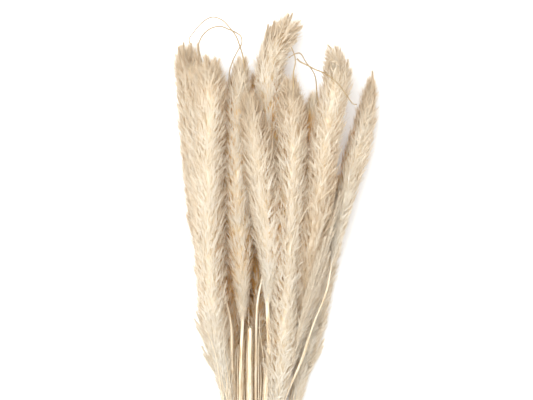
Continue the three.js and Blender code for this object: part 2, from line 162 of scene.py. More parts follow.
HAIR_SPREAD = (0.04, 0.5)
HAIR_WIDTH = 0.27
LEAST_WIDTH, MORE_WIDTH = 0.5, 0.5
LEAN_VARY = 0.6
HAIR_OVER_FLOOR = (0.3, 1.8)
SPINE_STEP = 0.03

# Spikes: a few short hairs each, which stand off the plume and feather its edge. SPIKE_PAST is how far
# past the outline one may end, and SPIKE_STEM is the least radius that its turn is worked out for.
SPIKES_PER_MM = 8
HAIRS_IN_SPIKE = 5
SPIKE_LENGTH = 13
SPIKE_UNEVEN = (0.5, 1.4)
SPIKE_ROOT = (0.5, 0.9)
SPIKE_RISE = (0.25, 0.85)
SPIKE_PAST = (-1, 4.5)
SPIKE_STEM = 3
SPIKE_TURN_VARY, SPIKE_ROOT_VARY, SPIKE_TIP_VARY = 3.5, 0.9, 0.2
SPIKE_WIDTH = 0.42

# Sprays: hairs along a given curve, which stand out of a plume. All face SPRAY_FACES.
SPRAY_STEPS = 60
HAIRS_PER_SPRAY_MM = 30
SPRAY_HAIR = 8
SPRAY_UNEVEN = (0.5, 1.3)
SPRAY_HAIR_AT_TIP = 0.45
SPRAY_CROWDING = 0.8
SPRAY_ROOT_VARY = 0.25
SPRAY_WIDTH = 0.42
SPRAY_FACES = (0.8, 0, 0.6)

# Tone of a hair, from 0, beige, to 1, pale cream: the plume's own, less near its tip, with painted shade
# that makes it less at its sides and painted light that makes it more on top. A hair faces fully up where
# FACES_UP times its outward rise, and FACES_FROM more, is 1.
PAINTED_SIDE_SHADE, PAINTED_TOP_LIGHT = -0.42, 0.12
FACES_UP, FACES_FROM = 0.9, 0.15
END_TONE = -0.45
SPIKE_TONE = SPRAY_TONE = -0.1
TUFT_TONE_VARY, HAIR_TONE_VARY, SPRAY_TONE_VARY = 0.07, 0.12, 0.13

# Light and shade painted into a hair's colour, from 0, deep and golden, to 1. It comes from the angles
# of SKY, whose first five and last five are the halves of the sky, and it is lost in hair on the way.
# FOOT_SHADE paints shade near a plume's foot, and a hair is painted lighter at its tip.
SKY = np.radians(np.arange(18, 180, 18))
HALF_SKY = 5
HAIR_DENSITY = 0.07
DARKEST, LIGHTEST = 0.4, 0.95
FOOT_SHADE, FOOT_REACH = 0.25, 70
TIP_LIGHT = 0.08
RAMP_LOW, RAMP_HIGH = 0.01, 0.99

# Each stalk as in the part: its place in the tie as (column, row), the plume's radius and line from
# base to tip, the line of a bare stretch, the rise of the plume's foot, the fall of its top and the width
# of a leaf sheath. tone is the one at the plume's base and tip: partly the plume's own colour and partly
# painted light and shade for where it lies in the heap. fuller is an angle, in degrees from the right over
# the top, and the share by which the hair reaches further there. A hidden plume lies low in the heap, and
# has fewer hairs; its low tone is painted shade. The last stalk has lost its plume.
STALKS = [
    dict(slot=(-1, -1), radius=13, fall=26, tone=(0.3, 0.5), line=[
        (-30, 150, 14), (-44.5, 220, 13), (-51.5, 295, 12), (-58, 325, 12), (-62, 355, 12),
        (-67.5, 425, 12), (-71, 475, 13), (-73, 501, 14)]),
    dict(slot=(-1, 0), radius=12, fall=40, tone=(0.55, 0.45),
         bare=[(-24, 145, 33), (-25.5, 185, 40), (-26.5, 222, 42)],
         line=[(-36, 262, 36), (-47, 305, 37), (-55, 365, 38), (-58, 405, 38), (-59, 445, 38),
               (-58, 480, 38)]),
    dict(slot=(-2, 1), radius=14, rise=125, fall=38, tone=(0.8, 0.5), fuller=(-20, 0.2), line=[
        (-26, 118, 30), (-31, 155, 37), (-39, 195, 46), (-46, 255, 56), (-48, 315, 62), (-48, 375, 63),
        (-46, 435, 63), (-46, 484, 62)]),
    dict(slot=(0, -1), radius=12.5, tone=(0.05, 0.2), fuller=(25, 0.4), hidden=True, line=[
        (-15, 108, 12), (-20, 150, 13), (-25, 200, 13), (-27, 245, 13), (-30, 295, 12), (-34, 345, 12),
        (-38, 395, 12), (-44, 445, 13), (-49, 487, 14)]),
    dict(slot=(-1, 1), radius=12.5, fall=50, tone=(0.55, 0.65), fuller=(185, 0.25), sheath=0.5,
         bare=[(-17, 145, 31), (-16, 190, 35)],
         line=[(-14.5, 227, 39), (-14.5, 255, 43), (-16, 295, 46), (-19, 335, 47), (-20, 375, 47),
               (-20, 415, 47), (-18, 455, 47), (-15, 486, 47)]),
    dict(slot=(0, -2), radius=12.5, tone=(0.05, 0.2), fuller=(155, 0.4), hidden=True, line=[
        (-1, 108, 12), (0, 150, 13), (2, 200, 13), (1, 245, 13), (-2, 295, 12), (-5, 345, 12),
        (-5, 395, 12), (-2, 445, 12), (-1, 472, 13)]),
    dict(slot=(0, 0), radius=14, fall=22, tone=(0.9, 0.5), fuller=(90, 0.5),
         bare=[(-1.5, 145, 27), (-1, 200, 31), (1, 245, 33)],
         line=[(8, 278, 35), (16, 312, 37), (16, 355, 38), (14, 395, 38), (12, 435, 38), (12, 470, 38),
               (16, 492, 38), (24, 508, 38), (35, 526, 38)]),
    dict(slot=(-1, 2), radius=13, tone=(0.75, 0.35), fuller=(20, 0.5), sheath=0.9,
         bare=[(8, 145, 36), (12, 195, 46)],
         line=[(10.5, 245, 55), (12, 275, 60), (10, 305, 63), (5, 345, 65), (0, 385, 65), (-5, 420, 65),
               (-9, 450, 64)]),
    dict(slot=(0, 1), radius=13, rise=75, fall=45, tone=(0.8, 0.4), fuller=(155, 0.45), line=[
        (15, 105, 26), (20, 145, 34), (25, 190, 43), (28, 225, 50), (31, 265, 56), (33, 305, 60),
        (35, 345, 62), (36, 385, 63), (36, 425, 62), (34, 465, 61)]),
    dict(slot=(2, -2), radius=12.5, tone=(0.05, 0.2), fuller=(90, 0.3), hidden=True, line=[
        (13, 112, 12), (18, 155, 13), (23, 205, 13), (28, 245, 13), (33, 280, 12), (37, 320, 12),
        (41, 365, 12), (43, 405, 12), (44, 440, 12)]),
    dict(slot=(1, -1), radius=11.5, tone=(1, 1), line=[
        (44, 285, 35), (46, 315, 37), (49, 345, 38), (51, 385, 38), (54, 420, 38), (57, 450, 38)]),
    dict(slot=(1, 1), radius=14, fall=34, tone=(0, 0.7), fuller=(-10, 0.15),
         bare=[(26, 145, 27), (35, 190, 37)],
         line=[(44, 227, 46), (50, 265, 54), (55, 300, 59), (60, 335, 62), (63, 365, 63), (66, 395, 63),
               (69.5, 420, 63), (75, 445, 62), (78, 465, 61), (78, 482, 61), (74, 494, 62)]),
    dict(slot=(0, 2), radius=12.5, rise=100, fall=90, tone=(0.6, 0.4), fuller=(0, 0.08), sheath=-0.3,
         bare=[(29, 147, 33.5), (45, 185, 37), (57, 222, 41), (69, 252, 43)],
         line=[(75, 283, 43), (81, 313, 41), (86.5, 340, 39), (92, 365, 37), (99.5, 390, 34),
               (106.5, 415, 31), (112, 440, 28), (116, 466, 25)]),
    dict(slot=(2, -1), radius=13, rise=140, tone=(0.6, 0.6), line=[
        (31, 108, 13), (38.5, 140, 13), (46, 172, 12), (54, 200, 12), (59.5, 228, 12), (64, 255, 12),
        (70.5, 290, 12), (74.5, 325, 12), (80, 366, 14)]),
    dict(slot=(1, 0), radius=11, tone=(0.7, 0.7), line=[
        (32, 172, 25), (38, 200, 29), (46, 230, 33), (54, 260, 35), (62, 290, 36), (69, 318, 37),
        (76, 350, 38)]),
    dict(slot=(-2, 2), radius=0, sheath=1.1, line=[(-7.5, 145, 37), (-7.5, 185, 42), (-7, 221, 44)]),
]

# Dry strands from root to tip, as in the part.
STRANDS = [
    [(-54, 468, 41), (-56, 485, 42), (-58.5, 500, 44), (-57, 505, 45), (-51, 513, 47), (-44, 517, 49),
     (-36, 518, 50), (-28, 515, 50), (-21, 512, 50), (-16, 508, 50), (-15, 502, 50), (-19, 494, 50),
     (-24, 484, 50), (-27, 475, 50), (-28, 460, 50.5), (-28, 448, 51)],
    [(-12, 472, 54), (-14, 488, 54.5), (-17, 498, 55), (-21, 508, 56), (-27, 516, 56), (-35, 524, 55),
     (-44, 527, 53), (-52, 524, 50), (-58, 519, 47), (-64, 512, 44), (-68, 506, 42), (-67, 502, 42),
     (-65, 501, 42)],
    [(36, 446, 69), (36, 458, 68), (36, 470, 65.5), (38, 483, 63), (37, 489, 62), (34, 496, 61)],
    [(61, 432, 43), (60, 450, 43), (57, 472, 43), (49, 483, 44), (42, 492, 45), (36, 490, 46),
     (32, 487, 47)],
    [(39.4, 484.6, 63), (43, 481.5, 63), (48, 479, 63.5), (57, 474, 66), (67, 469, 74), (78, 460, 79),
     (86, 450, 79), (91, 443, 76), (95, 439, 73), (98, 439, 71)],
]
STRAND_RADII, STRAND_SIDES, STRAND_STEPS = (0.72, 0.5), 6, 90

# Thin bent straws that lie on the plumes, from end to end.
WISPS = [
    [(76, 358, 70), (61, 345, 77.5), (48, 335, 76), (41, 321, 77), (30, 310, 77), (25, 300, 74)],
    [(-13, 464, 60), (-18, 450, 61), (-26, 436, 59), (-33, 425, 51)],
    [(-13, 466, 60), (-10, 452, 66), (-6, 440, 78), (-4, 432, 79)],
]
WISP_RADII, WISP_SIDES, WISP_STEPS = (0.3, 0.15), 5, 40

# Dry leaves stripped to a thread. Each starts on the culm of the stalk with this number, and then goes
# through the points.
LEAVES = [
    (2, [(-22, 145, 34), (-22.3, 170, 37), (-21.8, 189, 38)]),
    (5, [(-19.6, 145, 33), (-19.6, 175, 36), (-19, 200, 38)]),
    (5, [(-13, 145, 32), (-13.3, 175, 36), (-13, 205, 39)]),
    (7, [(-4.5, 145, 31), (-4.5, 185, 35), (-4, 214, 36)]),
    (8, [(7, 145, 37), (6.6, 185, 43), (2, 218, 46)]),
    (8, [(3, 145, 36), (4, 165, 39), (3.5, 180, 40)]),
    (7, [(-10.5, 145, 33), (-11, 175, 36), (-10.5, 196, 38)]),
    (3, [(-29, 130, 39), (-30, 150, 43.5), (-31, 172, 51)]),
    (3, [(-32, 130, 39), (-34, 155, 46), (-36.5, 180, 53.5)]),
    (3, [(-26, 130, 38.5), (-27, 155, 44.5), (-27.5, 176, 49)]),
    (3, [(-33, 135, 41), (-37, 165, 50), (-42, 195, 58.5), (-51, 220, 62.5)]),
    (9, [(12, 135, 36), (14, 150, 40.5), (15, 166, 45)]),
    (5, [(-15, 145, 35), (-14.5, 170, 38), (-15.5, 190, 41)]),
    (2, [(-26.5, 145, 36), (-27, 180, 40), (-28, 208, 44)]),
    (6, [(-8, 145, 28), (-9, 190, 33), (-8, 240, 36)]),
    (7, [(1.5, 145, 31), (1.5, 190, 35), (3, 232, 38)]),
    (8, [(10, 145, 39), (10.5, 170, 44), (9, 196, 49)]),
]
LEAF_FROM_Y = 45
LEAF_RADII, LEAF_SIDES, LEAF_STEPS = (0.6, 0.2), 5, 60

# Sprays that stand out of a plume's outline, from root to tip, by the plume's number.
SPRAYS = {
    1: [[(-75, 476, 20), (-78, 488, 23), (-79.5, 499, 23)],
        [(-73, 480, 22), (-74.5, 492, 25), (-74.5, 503, 24)],
        [(-70, 480, 20), (-69.5, 490, 22), (-68, 497, 21)]],
    2: [[(-57, 468, 44), (-58, 483, 45), (-59, 500, 45)], [(-58, 476, 44), (-60, 485, 45), (-62, 491, 45)]],
    3: [[(-48, 468, 68), (-49, 478, 70), (-50, 486, 70)], [(-42, 463, 68), (-39, 474, 70), (-37, 482, 70)],
        [(-46, 202, 46), (-55, 214, 47), (-62, 225, 46)], [(-45, 196, 42), (-54, 208, 46), (-60, 217, 45)],
        [(-48, 210, 48), (-55, 221, 48), (-60, 232, 47)], [(-38, 172, 38), (-48, 185, 40), (-55, 197, 40)],
        [(-36, 165, 38), (-46, 178, 41), (-53, 189, 41)], [(-39, 180, 40), (-48, 193, 42), (-54, 205, 42)]],
    7: [[(8, 470, 44), (7, 495, 47), (11, 519, 46)], [(10, 480, 46), (12, 503, 49), (17, 522, 49)],
        [(10, 490, 44), (10, 505, 45), (13, 517, 44)], [(18, 498, 46), (25, 515, 48), (31, 529, 46)],
        [(22, 498, 44), (30, 516, 46), (35, 531, 42)], [(28, 503, 42), (37, 512, 43), (44, 518, 40)],
        [(24, 493, 40), (32, 499, 41), (38, 504, 39)]],
    12: [[(86, 460, 66), (85, 476, 68), (79, 487, 67), (71, 497, 64)],
         [(73, 466, 70), (69, 475, 72), (72, 481, 72), (78, 479, 72), (80, 472, 71)],
         [(86, 464, 64), (89, 475, 65), (90, 482, 63)], [(87, 455, 64), (91, 465, 65), (93, 473, 63)]],
    13: [[(114, 445, 28), (116, 460, 29), (117, 474, 27)], [(47, 232, 62), (56, 258, 64), (66, 285, 62)],
         [(42, 222, 60), (51, 250, 70), (60, 280, 72)], [(52, 242, 56), (62, 266, 58), (72, 292, 58)],
         [(50, 255, 70), (59, 280, 73), (67, 307, 70)], [(60, 275, 66), (68, 300, 66), (76, 327, 63)],
         [(40, 205, 54), (46, 226, 60), (54, 248, 62)], [(56, 295, 74), (64, 320, 73), (71, 346, 70)],
         [(36, 190, 46), (41, 208, 52), (47, 228, 54)], [(66, 300, 62), (74, 324, 60), (82, 350, 56)],
         [(57, 262, 60), (66, 287, 62), (75, 312, 60)], [(45, 240, 66), (53, 266, 72), (60, 292, 74)],
         [(66, 285, 46), (72, 312, 52), (79, 338, 52)], [(68, 296, 50), (76, 322, 54), (84, 346, 50)],
         [(62, 272, 50), (68, 298, 56), (75, 322, 58)], [(70, 308, 50), (78, 334, 52), (87, 358, 48)]],
    14: [[(50, 172, 16), (59, 184, 20), (66, 195, 20)], [(48, 166, 14), (57, 178, 16), (64, 189, 17)],
         [(52, 178, 18), (61, 190, 22), (67, 202, 22)], [(57, 203, 18), (65, 215, 22), (71, 228, 22)],
         [(55, 196, 16), (63, 208, 18), (70, 220, 18)], [(60, 215, 18), (67, 228, 22), (73, 241, 22)]],
    15: [[(72, 330, 44), (76, 350, 49), (79, 368, 50)], [(70, 318, 45), (77, 335, 50), (82, 352, 50)],
         [(66, 300, 45), (73, 318, 50), (79, 333, 50)], [(62, 280, 45), (70, 300, 49), (77, 315, 50)]],
}

# Colours of the hair by its painted light and shade and by its tone, and of the straw, as stops of a ramp.
LIGHT_COLOURS = [(0, (1, 0.72, 0.32)), (0.18, (1, 0.84, 0.52)), (0.42, (0.98, 0.935, 0.845)),
                 (0.8, (0.96, 0.94, 0.9))]
TONE_COLOURS = [(0, (0.76, 0.65, 0.515)), (0.5, (0.885, 0.83, 0.745)), (1, (0.925, 0.91, 0.89))]
STRAW_COLOURS = [(0.3, (0.42, 0.26, 0.12)), (0.44, (0.68, 0.52, 0.33)), (0.58, (0.8, 0.7, 0.55)),
                 (0.75, (0.87, 0.81, 0.71))]

# Finishes. Streaks are counted to a metre along X, Y and Z, or round and along a piece.
HAIR_ROUGHNESS, HAIR_GLOSS, HAIR_TRANSLUCENT = 0.55, 0.05, 0.5
STRAW_ROUGHNESS, STRAW_DETAIL = 0.42, 6
STRAW_ROUND_AND_ALONG, STRAW_BY_PLACE = (9, 16, 1), (70, 4, 70)
GRAIN_DETAIL = 5
GRAIN_DARK_TO, GRAIN_LIGHT_FROM = 0.3, 0.62
LONG_GRAIN, EVEN_GRAIN = (900, 14, 900), (1500, 1500, 1500)
BUMP_STRENGTH, BUMP_DEPTH = 0.5, 0.2

# Camera: straight above, with one photo pixel to a millimetre at half the bundle's height.
PHOTO_WIDTH_PX = 533
PHOTO_CENTRE = (9.5, 345)
MID_HEIGHT = 45
LENS, SENSOR = 100, 36

# Studio: a pale floor just under the bundle, an even sky, and a large lamp, placed and sized in metres.
FLOOR_HALF, FLOOR_DROP = 3000, 0.2
FLOOR_COLOUR, FLOOR_ROUGHNESS = (0.9, 0.9, 0.9, 1), 0.9
WORLD_COLOUR, WORLD_STRENGTH = (1, 0.98, 0.945, 1), 1.09
LAMP_PLACE, LAMP_AIM, LAMP_SIZE = (-0.4, 0.5, 1.85), (0, 0.3, 0), 1.2
LAMP_WATTS, LAMP_COLOUR = 43, (0.9, 0.965, 1)


def mix(a, b, share):
    return a + (b - a) * share


def unit(vectors):
    return vectors / np.linalg.norm(vectors, axis=-1, keepdims=True)


class Line:
    """A smooth line through points, read at any y. Its y only climbs."""

    def __init__(self, points):
        self.points = np.array(points, float)
        self.y = self.points[:, 1]
        self.slopes = np.gradient(self.points, self.y, axis=0)

    def at(self, y):
        """The place at each y, and two directions square to the line there: side, and up."""
        y = np.asarray(y, float)
        inside = np.clip(y, self.y[0], self.y[-1])
        i = np.clip(np.searchsorted(self.y, inside) - 1, 0, len(self.y) - 2)
        step = (self.y[i + 1] - self.y[i])[..., None]
        t = (inside - self.y[i])[..., None] / step
        a, b = self.points[i], self.points[i + 1]
        va, vb = self.slopes[i] * step, self.slopes[i + 1] * step
        cubic, square = 2 * (a - b) + va + vb, 3 * (b - a) - 2 * va - vb
        place = ((cubic * t + square) * t + va) * t + a
        along = ((3 * cubic * t + 2 * square) * t + va) / step
        place = place + along * (y - inside)[..., None]
        along = unit(along)
        side = unit(np.cross(along, (0, 0, 1)))
        return place, side, np.cross(side, along)


class Stalk:
    """One stalk: its whole line from the cut foot, and the outline of its culm and plume."""

    def __init__(self, number, slot, radius, line, bare=(), rise=PLUME_RISE, fall=PLUME_FALL,
                 sheath=SHEATH_SWELL, tone=(0.5, 0.5), fuller=(0, 0), hidden=False):
        self.number, self.radius, self.rise, self.fall = number, radius, rise, fall
        self.sheath, self.tone, self.fuller = sheath, tone, fuller
        self.fullness = HIDDEN_SHARE if hidden else 1
        column, row = slot
        x, z = (column + row / 2) * CULM_PITCH, row * CULM_PITCH * math.sin(math.pi / 3)
        foot_y = FOOT_Y + ((number - 1) * GOLDEN_SHARE) % 1 * FOOT_UNEVEN
        foot = (x * FOOT_SPREAD, foot_y, TIE_HEIGHT + z * FOOT_SPREAD)
        in_tie = [(x, y, TIE_HEIGHT + z) for y in (-TIE_WIDTH, TIE_WIDTH)]
        self.line = Line([foot, *in_tie, *bare, *line])
        self.foot_y, self.tip_y = foot_y, line[-1][1]
        self.base_y = line[0][1] if radius else self.tip_y
        self.long_culm = self.base_y > LONG_CULM_Y

    def bears_at(self, y):
        """Whether the plume reaches each y."""
        return (y > self.base_y) & (y < self.tip_y)

    def fluff(self, y):
        """Radius of the plume's soft outline."""
        filled = mix(PLUME_FOOT_SHARE, 1, np.clip((y - self.base_y) / self.rise, 0, 1))
        ending = np.clip((self.tip_y - y) / self.fall, 0, 1)
        return np.maximum(self.radius * filled * np.sin(ending * math.pi / 2) ** TIP_BLUNT, LEAST_FLUFF)

    def hair_outline(self, y):
        """The same, as the hair takes it, which keeps some width up to the tip."""
        return self.fluff(np.minimum(y, self.tip_y - OUTLINE_BEFORE_TIP))

    def fuller_at(self, angle):
        """The share by which the hair reaches further at an angle round the stalk."""
        towards, share = self.fuller
        return share * np.clip(np.cos(angle - math.radians(towards)), 0, 1) ** 2

    def lobes(self, y, angle):
        """How far the hair stands out or sinks in over the plume, as a share of its radius."""
        random = np.random.default_rng(FIRST_SEED * 2 + self.number)
        waves = 0
        for length, turns in LOBE_WAVES:
            phase = random.uniform(0, 2 * math.pi)
            waves = waves + np.sin(y / length * 2 * math.pi + turns * angle + phase)
        return LOBE * waves / LOBE_WAVES_SUM + self.fuller_at(angle)

    def tone_at(self, y):
        return mix(*self.tone, np.clip((y - self.base_y) / (self.tip_y - self.base_y), 0, 1))

    def culm_radius(self, y):
        plain = mix(CULM_FOOT_RADIUS, CULM_TOP_RADIUS, (y - FOOT_Y) / (self.base_y - FOOT_Y))
        return plain + np.where(y > JOINT_Y[-1], self.sheath, 0)


BUNDLE = [Stalk(number, **values) for number, values in enumerate(STALKS, 1)]
PLUMED = [stalk for stalk in BUNDLE if stalk.radius]


def new_piece(name, form, material):
    vertices, quads, triangles, uv = form
    mesh = bpy.data.meshes.new(name)
    corners = np.concatenate([np.ravel(quads), np.ravel(triangles)]).astype(np.int32)
    sizes = np.repeat([4, 3], [len(quads), len(triangles)]).astype(np.int32)
    mesh.vertices.add(len(vertices))
    mesh.vertices.foreach_set("co", (np.asarray(vertices) * MM).astype(np.float32).ravel())
    mesh.loops.add(len(corners))
    mesh.loops.foreach_set("vertex_index", corners)
    mesh.polygons.add(len(sizes))
    mesh.polygons.foreach_set("loop_start", np.concatenate([[0], np.cumsum(sizes)[:-1]]).astype(np.int32))
    mesh.polygons.foreach_set("loop_total", sizes)
    mesh.polygons.foreach_set("use_smooth", np.ones(len(sizes), bool))
    layer = mesh.uv_layers.new(name=UV_NAME)
    layer.data.foreach_set("uv", np.asarray(uv, np.float32)[corners].ravel())
    mesh.update(calc_edges=True)
    mesh.materials.append(material)
    piece = bpy.data.objects.new(name, mesh)
    bpy.context.scene.collection.objects.link(piece)
    return piece


def add(name, form, material, node=None):
    """A piece on the one body, which stands for a node of the frame if one is named."""
    piece = new_piece(name, form, material)
    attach(piece, "root")
    if node:
        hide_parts(node)


def joined(forms):
    """Several forms as one."""
    starts = np.cumsum([0] + [len(form[0]) for form in forms])
    vertices = np.concatenate([form[0] for form in forms])
    quads = np.concatenate([form[1] + start for form, start in zip(forms, starts)])
    triangles = np.concatenate([form[2] + start for form, start in zip(forms, starts)])
    return vertices, quads, triangles, np.concatenate([form[3] for form in forms])


def tube(centres, side, up, radii, sides):
    """A capped tube round centres. radii has one radius a ring, or one for each of a ring's vertices.
    The seam is below, and u runs round and v along."""
    round_share = np.arange(sides + 1) / sides
    angles = -math.pi / 2 - round_share * 2 * math.pi
    if np.ndim(radii) < 2:
        radii = np.broadcast_to(radii, len(centres))[:, None]
    radii = radii[:, np.arange(sides + 1) % radii.shape[1]]
    out = np.cos(angles)[:, None] * side[:, None] + np.sin(angles)[:, None] * up[:, None]
    vertices = (centres[:, None] + radii[..., None] * out).reshape(-1, 3)
    ring = np.arange(len(centres) - 1)[:, None] * (sides + 1)
    one = np.arange(sides)
    quads = np.stack([one, one + 1, one + sides + 2, one + sides + 1], -1)
    quads = (ring[..., None] + quads).reshape(-1, 4)
    start = len(vertices)
    last = start - sides - 1
    lower = np.stack([one + 1, one, np.full(sides, start)], -1)
    upper = np.stack([last + one, last + one + 1, np.full(sides, start + 1)], -1)
    along = np.linspace(0, 1, len(centres))
    uv = np.stack(np.broadcast_arrays(round_share, along[:, None]), -1).reshape(-1, 2)
    uv = np.concatenate([uv, [(0.5, 0), (0.5, 1)]])
    return np.concatenate([vertices, centres[:1], centres[-1:]]), quads, np.concatenate([lower, upper]), uv


def smooth(points, steps):
    """Evenly spaced places on a smooth curve through points that may turn any way."""
    knots = np.array(points, float)
    at = np.concatenate([[0], np.cumsum(np.linalg.norm(np.diff(knots, axis=0), axis=1))])
    slopes = np.gradient(knots, at, axis=0)
    s = np.linspace(0, at[-1], steps)
    i = np.clip(np.searchsorted(at, s) - 1, 0, len(at) - 2)
    h = (at[i + 1] - at[i])[:, None]
    t = (s - at[i])[:, None] / h
    a, b, va, vb = knots[i], knots[i + 1], slopes[i] * h, slopes[i + 1] * h
    return ((((2 * (a - b) + va + vb) * t) + 3 * (b - a) - 2 * va - vb) * t + va) * t + a


def frames(centres):
    """Two directions square to a path at each of its points, turning no more than the path does."""
    no_path_starts_along = (0.3, 0.2, 1)
    along = unit(np.gradient(centres, axis=0))
    sides = [unit(np.cross(along[0], no_path_starts_along))]
    for direction in along[1:]:
        sides.append(unit(sides[-1] - direction * np.dot(sides[-1], direction)))
    side = np.array(sides)
    return side, np.cross(side, along)


def thin_tube(points, radii, sides, steps, taper=1):
    """A tube along a smooth curve through points, from the first radius to the second."""
    centres = smooth(points, steps)
    side, up = frames(centres)
    share = np.linspace(0, 1, steps)
    return tube(centres, side, up, mix(*radii, share ** taper), sides)


def round_line(stalk, y, radius, angle):
    """The places at a radius and angle round the stalk's line, and the outward direction there."""
    place, side, up = stalk.line.at(y)
    out = np.cos(angle)[..., None] * side + np.sin(angle)[..., None] * up
    return place + radius[..., None] * out, out


def pressed(stalk, places):
    """How far places on a plume are pressed into the other plumes, from 0 to 1."""
    most = np.zeros(len(places))
    y = places[:, 1]
    for other in PLUMED:
        if other is not stalk:
            middle, _, _ = other.line.at(y)
            apart = np.hypot(middle[:, 0] - places[:, 0], middle[:, 2] - places[:, 2]) / other.fluff(y)
            close = np.clip((PRESSED_FROM - apart) / PRESSED_OVER, 0, 1)
            most = np.maximum(most, other.bears_at(y) * close)
    return most


def hair_on_the_way(stalk, places):
    """How much of a plume lies between places and the sky, in mm, for each angle of SKY."""
    x, y, z = places.T
    middle, _, _ = stalk.line.at(y)
    across, above = middle[:, 0] - x, middle[:, 2] - z
    full = stalk.fluff(y) * (1 + stalk.fuller_at(np.arctan2(-above, -across)) / 2) * stalk.bears_at(y)
    cos, sin = np.cos(SKY)[:, None], np.sin(SKY)[:, None]
    towards = across * cos + above * sin
    off = across * sin - above * cos
    half = np.sqrt(np.maximum(full ** 2 - off ** 2, 0))
    return np.maximum(towards + half, 0) - np.maximum(towards - half, 0)


def daylight(places):
    """The share of the light from the right or the left half of the sky, whichever is more, that reaches
    places in and between the plumes, from 0 to 1."""
    through = sum(hair_on_the_way(stalk, places) for stalk in PLUMED)
    weight = np.sin(SKY)
    reaching = weight[:, None] * np.exp(-HAIR_DENSITY * through)
    right, left = reaching[:HALF_SKY].sum(0), reaching[-HALF_SKY:].sum(0)
    return np.maximum(right, left) / weight[:HALF_SKY].sum()


def hair_tones_and_painted_shade(stalk, roots, outward, tones):
    """The tone of each hair, from how it differs from the plume's, with painted side shade and top light.
    """
    facing_up = np.clip(outward[:, 2] * FACES_UP + FACES_FROM, 0, 1)
    # painted shade at the sides and painted light on top
    tones = tones + stalk.tone_at(roots[:, 1]) + mix(PAINTED_SIDE_SHADE, PAINTED_TOP_LIGHT, facing_up)
    tones = tones + END_TONE * np.clip(1 - (stalk.tip_y - roots[:, 1]) / PLUME_FALL, 0, 1)
    return np.clip(tones, RAMP_LOW, RAMP_HIGH)


def hair_light(stalk, roots, tips):
    """The painted light and shade on each hair's two root corners and on its tip, less near the plume's
    foot.
    """
    light = (daylight(mix(roots, tips, 0.5)) - DARKEST) / (LIGHTEST - DARKEST)
    light = light - FOOT_SHADE * np.clip(1 - (roots[:, 1] - stalk.base_y) / FOOT_REACH, 0, 1)
    corners = np.stack([light - TIP_LIGHT, light - TIP_LIGHT, light + TIP_LIGHT], 1)
    return np.clip(corners, RAMP_LOW, RAMP_HIGH)


def straight_hairs(stalk, roots, ways, lengths, outward, tones, width, random):
    """Straight hairs, each a pointed triangle. tones is how each differs from the plume's."""
    count = len(roots)
    flat = unit(np.cross(ways, outward))
    lean = random.normal(0, LEAN_VARY, count)[:, None]
    across = flat * np.cos(lean) + np.cross(ways, flat) * np.sin(lean)
    half = across * width / 2 * (LEAST_WIDTH + random.exponential(MORE_WIDTH, count))[:, None]
    tips = roots + ways * lengths[:, None]
    vertices = np.stack([roots - half, roots + half, tips], 1)
    lowest = random.uniform(*HAIR_OVER_FLOOR, count)
    vertices[..., 2] = np.maximum(vertices[..., 2], lowest[:, None])
    # painted light and shade, carried as v of the UV map
    light = hair_light(stalk, roots, tips)
    tones = hair_tones_and_painted_shade(stalk, roots, outward, tones)
    uv = np.stack([np.broadcast_to(tones[:, None], light.shape), light], -1)
    triangles = np.arange(count * 3).reshape(-1, 3)
    return vertices.reshape(-1, 3), NO_QUADS, triangles, uv.reshape(-1, 2)


def splayed(along, random):
    """Directions that part from the spine's, each to its own side."""
    away = unit(np.cross(along, random.normal(0, 1, along.shape)))
    angle = random.uniform(*HAIR_SPREAD, len(along))[:, None]
    return along * np.cos(angle) + away * np.sin(angle)


def tuft_reach(stalk, y, angle, random):
    """How far out tufts stand that end at y, from the stalk's line."""
    full = stalk.hair_outline(y)
    reach = random.normal(TUFT_REACH, REACH_VARY, len(y)) + stalk.lobes(y, angle)
    edge, _ = round_line(stalk, y, full, angle)
    over = pressed(stalk, edge) * np.clip(np.sin(angle) + BRIDGE_SIDEWAYS, 0, 1)
    return full * (reach + BRIDGE * over)


def tuft_spines(stalk, random):
    """The spines of the tufts, in order up the plume and round it."""
    count = round((stalk.tip_y - stalk.base_y) * TUFTS_PER_MM * stalk.fullness)
    order = (np.arange(count) + random.uniform(0, 1, count)) / count
    root_y = mix(stalk.base_y - TUFTS_BEFORE_BASE, stalk.tip_y - TUFTS_BEFORE_TIP, order)
    length = TUFT_LENGTH * random.uniform(*HAIR_UNEVEN, count)
    length = np.minimum(length, stalk.tip_y + random.uniform(*TUFT_PAST_TIP, count) - root_y)
    angle = np.arange(count) * GOLDEN_ANGLE + random.normal(0, TURN_VARY, count)
    way = np.sign(np.cos(angle) + random.normal(0, TURN_VARY, count))
    swing = random.normal(0, SWING_VARY, count)
    swing = swing - PARTING * random.uniform(*PARTED, count) * way * np.sin(angle)
    root_r = stalk.fluff(root_y) * random.uniform(*TUFT_ROOT, count)
    tip_r = tuft_reach(stalk, root_y + length, angle, random)
    bend = random.uniform(*TUFT_BEND, count)
    tone = random.normal(0, TUFT_TONE_VARY, count)
    return SimpleNamespace(root_y=root_y, length=length, angle=angle, swing=swing, root_r=root_r,
                           tip_r=tip_r, bend=bend, tone=tone)


